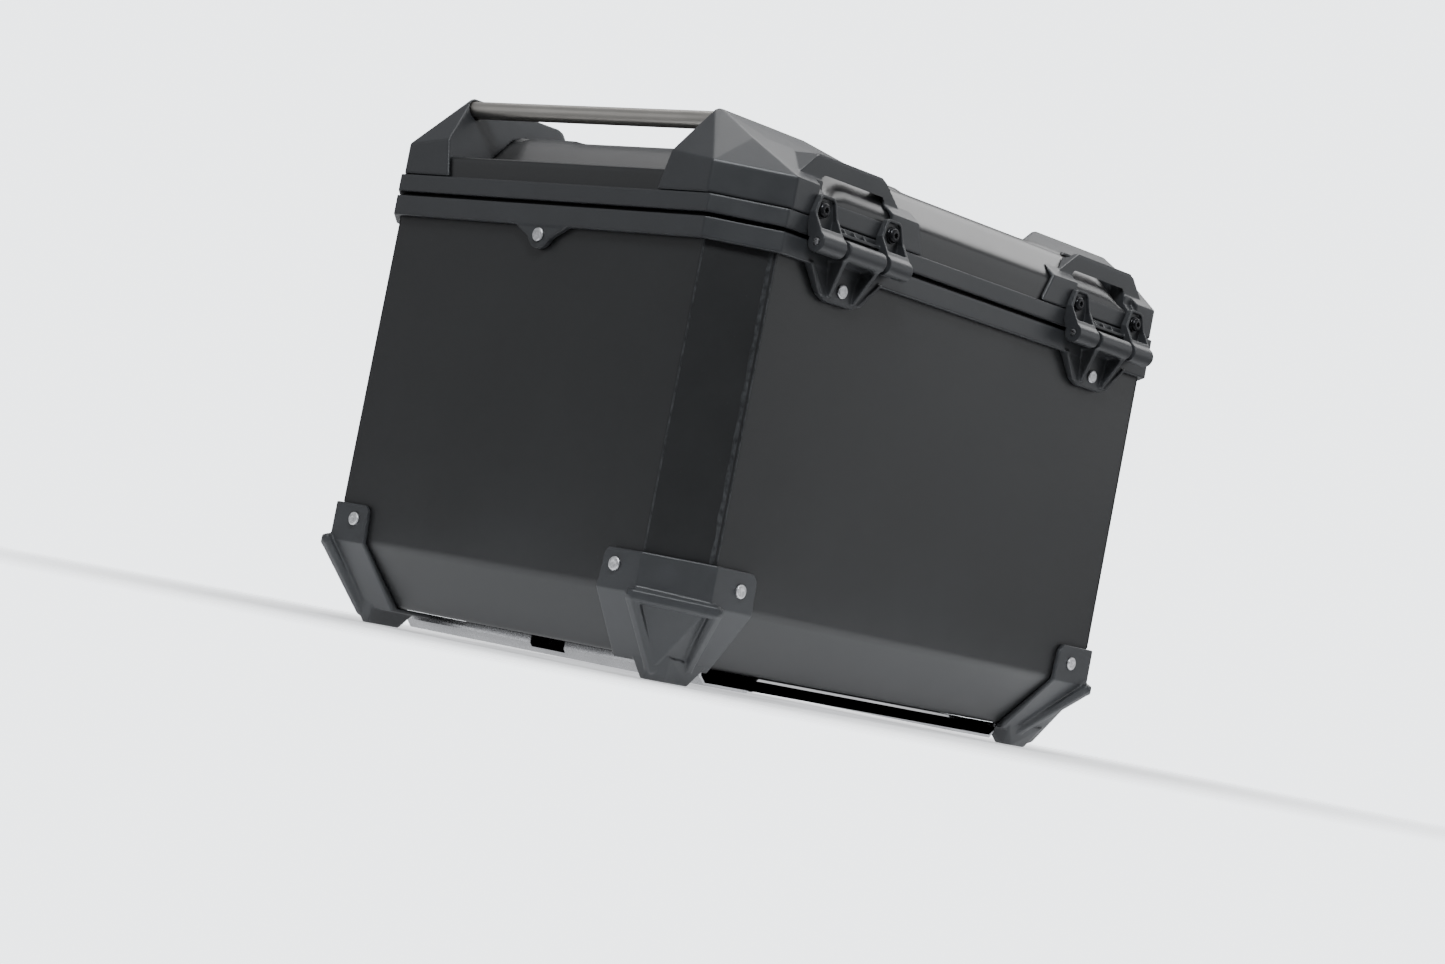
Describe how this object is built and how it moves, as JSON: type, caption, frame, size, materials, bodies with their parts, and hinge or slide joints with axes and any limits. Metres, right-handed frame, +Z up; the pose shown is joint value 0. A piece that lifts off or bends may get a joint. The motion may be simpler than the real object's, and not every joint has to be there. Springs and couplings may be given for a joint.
{
  "type": "motorcycle top case",
  "caption": "Aluminium motorcycle top case: folded chamfered box with corner protectors, hinged lid with lashing bars and strap loops, two locking latch flaps and an underside mounting plate.",
  "frame": {"origin": "middle of the case's footprint, at the plane its four feet stand on", "axes": "+X to the right of the hinged side's plan width, +Y towards the hinge side, +Z up"},
  "size_m": [0.4344, 0.344, 0.32],
  "materials": {
    "painted_sheet": "aluminium sheet with a fine textured anthracite powder coat",
    "plastic": "satin glass-filled nylon",
    "stainless": "brushed",
    "rivet": "satin blind rivet head",
    "black_steel": "black zinc, semi-gloss",
    "anodised_bar": "titanium-grey anodised, fine brushed",
    "lock_metal": "satin die-cast lock cylinder",
    "seal": "matt sponge rubber"
  },
  "bodies": {
    "base": {"base_shell": "painted_sheet", "base_rim": "plastic", "rim_seal": "seal", "mounting_plate": "stainless", "latch_keeper_right": "black_steel", "latch_keeper_left": "black_steel", "protector_right_rear": "plastic", "protector_left_rear": "plastic", "protector_right_front": "plastic", "protector_left_front": "plastic", "rivet_side_right_rear": "rivet", "rivet_side_left_rear": "rivet", "rivet_side_right_front": "rivet", "rivet_side_left_front": "rivet", "rivet_face_right_rear": "rivet", "rivet_face_left_rear": "rivet", "rivet_face_right_front": "rivet", "rivet_face_left_front": "rivet", "rivet_tab_right": "rivet", "rivet_tab_left": "rivet", "rivet_hinge_right": "rivet", "rivet_hinge_left": "rivet", "rivet_latch_right": "rivet", "rivet_latch_left": "rivet", "floor_screw_1": "stainless", "floor_screw_2": "stainless", "floor_screw_3": "stainless", "floor_screw_4": "stainless"},
    "lid": {"lid_rim": "plastic", "lid_panel": "painted_sheet", "lid_corner_right_rear": "plastic", "lid_corner_left_rear": "plastic", "lid_corner_right_front": "plastic", "lid_corner_left_front": "plastic", "lashing_bar_right": "anodised_bar", "lashing_bar_left": "anodised_bar", "hinge_leaf_right": "plastic", "hinge_pin_right": "stainless", "latch_mount_right": "plastic", "latch_pin_right": "stainless", "hinge_leaf_left": "plastic", "hinge_pin_left": "stainless", "latch_mount_left": "plastic", "latch_pin_left": "stainless", "hinge_screw_right_outer": "black_steel", "hinge_screw_right_inner": "black_steel", "hinge_screw_left_outer": "black_steel", "hinge_screw_left_inner": "black_steel", "latch_screw_right_outer": "black_steel", "latch_screw_right_inner": "black_steel", "latch_screw_left_outer": "black_steel", "latch_screw_left_inner": "black_steel"},
    "flap_right": {"latch_flap_right": "plastic"},
    "lock_right": {"lock_cylinder_right": "lock_metal"},
    "flap_left": {"latch_flap_left": "plastic"},
    "lock_left": {"lock_cylinder_left": "lock_metal"}
  },
  "joints": [
    {"name": "lid_hinge", "type": "hinge", "parent": "base", "child": "lid", "pos_m": [0, 0.166, 0.2535], "axis": [-1, 0, 0], "range_deg": [0, 100]},
    {"name": "flap_right_hinge", "type": "hinge", "parent": "lid", "child": "flap_right", "pos_m": [0.1245, -0.1645, 0.271], "axis": [-1, 0, 0], "range_deg": [0, 110]},
    {"name": "lock_right_turn", "type": "hinge", "parent": "flap_right", "child": "lock_right", "pos_m": [0.1245, -0.165, 0.24], "axis": [0, -1, 0], "range_deg": [0, 90]},
    {"name": "flap_left_hinge", "type": "hinge", "parent": "lid", "child": "flap_left", "pos_m": [-0.1245, -0.1645, 0.271], "axis": [-1, 0, 0], "range_deg": [0, 110]},
    {"name": "lock_left_turn", "type": "hinge", "parent": "flap_left", "child": "lock_left", "pos_m": [-0.1245, -0.165, 0.24], "axis": [0, -1, 0], "range_deg": [0, 90]}
  ]
}
